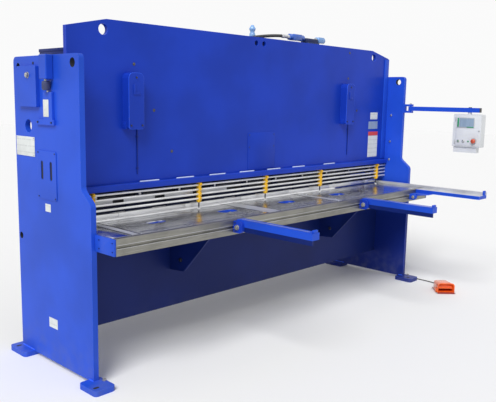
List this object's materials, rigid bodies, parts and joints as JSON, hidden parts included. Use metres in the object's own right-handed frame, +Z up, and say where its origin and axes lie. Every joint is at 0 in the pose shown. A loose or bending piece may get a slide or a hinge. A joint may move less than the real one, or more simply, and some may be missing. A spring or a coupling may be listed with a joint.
{
  "type": "metal shear",
  "caption": "Hydraulic guillotine shear for sheet metal with table, finger guard, hold-down, raked upper blade, back gauge, support arms, swinging control box and foot pedal.",
  "frame": {"origin": "under the middle of the machine's own box, on the floor", "axes": "+X along the blades to the operator's right, +Y to the rear, +Z up"},
  "size_m": [3.482, 1.905, 2.05],
  "materials": {
    "blue_paint": "gloss machine enamel, lightly scuffed",
    "navy_paint": "dark enamel in the machine's shade",
    "ground_steel": "ground face, oiled",
    "bright_steel": "bright drawn or ground",
    "rail_steel": "planed, dull grey",
    "yellow_paint": "safety yellow",
    "grey_paint": "grey enamel",
    "black_rubber": "satin black",
    "pale_paint": "off-white powder coat",
    "orange_plastic": "orange moulding",
    "black_plastic": "ribbed black moulding",
    "red_plastic": "red moulding",
    "green_plastic": "green moulding",
    "grey_plastic": "grey moulding"
  },
  "bodies": {
    "machine": {"left_side_plate": "blue_paint", "right_side_plate": "blue_paint", "front_plate": "blue_paint", "nose_bar": "blue_paint", "bed_frame": "navy_paint", "rear_tie_beam": "blue_paint", "table_plate": "ground_steel", "table_front_rail": "rail_steel", "lower_blade": "bright_steel", "squaring_arm": "blue_paint", "squaring_fence": "ground_steel", "guard_post_1": "yellow_paint", "guard_post_2": "yellow_paint", "guard_post_3": "yellow_paint", "guard_post_4": "yellow_paint", "guard_post_5": "yellow_paint", "guard_bar_1": "bright_steel", "guard_bar_2": "bright_steel", "guard_bar_3": "bright_steel", "guard_bar_4": "bright_steel", "hold_down_guide": "navy_paint", "left_cylinder": "blue_paint", "right_cylinder": "blue_paint", "oil_tank": "navy_paint", "pump_motor": "grey_paint", "valve_block": "grey_paint", "pressure_hose": "black_rubber", "left_cylinder_cover": "blue_paint", "right_cylinder_cover": "blue_paint", "adjuster_hood": "blue_paint", "side_doubler": "blue_paint", "scale_block": "blue_paint", "access_cover": "blue_paint", "left_gauge_rail": "navy_paint", "right_gauge_rail": "navy_paint", "pendant_bracket": "blue_paint", "pedal_housing": "orange_plastic", "cable_gland": "black_rubber", "pedal_cable_drop": "black_rubber", "pedal_cable_run": "black_rubber", "pedal_cable_coil": "black_rubber"},
    "ram": {"ram_beam": "navy_paint", "upper_blade": "bright_steel", "left_piston_rod": "bright_steel", "right_piston_rod": "bright_steel"},
    "hold_down": {"hold_down_bar": "bright_steel"},
    "back_gauge": {"back_gauge_bar": "ground_steel"},
    "left_screw": {"left_gauge_screw": "bright_steel"},
    "right_screw": {"right_gauge_screw": "bright_steel"},
    "left_bracket": {"left_arm_bracket": "blue_paint"},
    "middle_bracket": {"middle_arm_bracket": "blue_paint"},
    "left_arm": {"left_support_arm": "blue_paint"},
    "middle_arm": {"middle_support_arm": "blue_paint"},
    "gap_knob": {"adjuster_knob": "grey_paint"},
    "control_arm": {"pendant_arm": "blue_paint"},
    "control_box": {"pendant_box": "pale_paint"},
    "stop_mushroom": {"emergency_stop": "red_plastic"},
    "start_push": {"start_button": "green_plastic"},
    "stop_push": {"stop_button": "grey_plastic"},
    "treadle": {"pedal_treadle": "black_plastic"}
  },
  "joints": [
    {"name": "ram_stroke", "type": "slide", "parent": "machine", "child": "ram", "axis": [0, 0, -1], "range_m": [0, 0.105]},
    {"name": "hold_down_stroke", "type": "slide", "parent": "machine", "child": "hold_down", "axis": [0, 0, -1], "range_m": [0, 0.009], "stiffness_N_per_m": 20000, "springref_m": -0.03},
    {"name": "back_gauge_travel", "type": "slide", "parent": "machine", "child": "back_gauge", "axis": [0, 1, 0], "range_m": [-0.28, 0.32]},
    {"name": "left_screw_turn", "type": "hinge", "parent": "machine", "child": "left_screw", "pos_m": [-0.997, 0.1788, 0.735], "axis": [0, 1, 0], "range_deg": [-2600, 2950]},
    {"name": "right_screw_turn", "type": "hinge", "parent": "machine", "child": "right_screw", "pos_m": [1.033, 0.1788, 0.735], "axis": [0, 1, 0], "range_deg": [-2600, 2950]},
    {"name": "left_bracket_slide", "type": "slide", "parent": "machine", "child": "left_bracket", "axis": [1, 0, 0], "range_m": [-0.4, 0.6]},
    {"name": "middle_bracket_slide", "type": "slide", "parent": "machine", "child": "middle_bracket", "axis": [1, 0, 0], "range_m": [-0.6, 0.35]},
    {"name": "left_arm_fold", "type": "hinge", "parent": "left_bracket", "child": "left_arm", "pos_m": [-0.692, -0.4105, 0.785], "axis": [1, 0, 0], "range_deg": [0, 85]},
    {"name": "middle_arm_fold", "type": "hinge", "parent": "middle_bracket", "child": "middle_arm", "pos_m": [0.623, -0.4105, 0.785], "axis": [1, 0, 0], "range_deg": [0, 85]},
    {"name": "gap_knob_turn", "type": "hinge", "parent": "machine", "child": "gap_knob", "pos_m": [-1.602, 0.1605, 1.552], "axis": [0, 0, 1], "range_deg": [-170, 170]},
    {"name": "control_arm_swing", "type": "hinge", "parent": "machine", "child": "control_arm", "pos_m": [1.597, -0.1825, 1.462], "axis": [0, 0, 1], "range_deg": [-75, 95]},
    {"name": "control_box_swivel", "type": "hinge", "parent": "control_arm", "child": "control_box", "pos_m": [1.597, -0.7125, 1.448], "axis": [0, 0, 1], "range_deg": [-90, 90]},
    {"name": "emergency_stop_press", "type": "slide", "parent": "control_box", "child": "stop_mushroom", "axis": [1, 0, 0], "range_m": [0, 0.006]},
    {"name": "start_press", "type": "slide", "parent": "control_box", "child": "start_push", "axis": [1, 0, 0], "range_m": [0, 0.003], "stiffness_N_per_m": 300, "springref_m": -0.002},
    {"name": "stop_press", "type": "slide", "parent": "control_box", "child": "stop_push", "axis": [1, 0, 0], "range_m": [0, 0.003], "stiffness_N_per_m": 300, "springref_m": -0.002},
    {"name": "treadle_press", "type": "hinge", "parent": "machine", "child": "treadle", "pos_m": [1.53025, -0.60146, 0.036], "axis": [0.6947, -0.7193, 0], "range_deg": [0, 7], "stiffness_Nm_per_rad": 1, "springref_deg": -14.32}
  ],
  "couplings": [
    {"joint": "left_screw_turn", "follows": "back_gauge_travel", "rad_per_m": 157.08},
    {"joint": "right_screw_turn", "follows": "back_gauge_travel", "rad_per_m": 157.08}
  ]
}
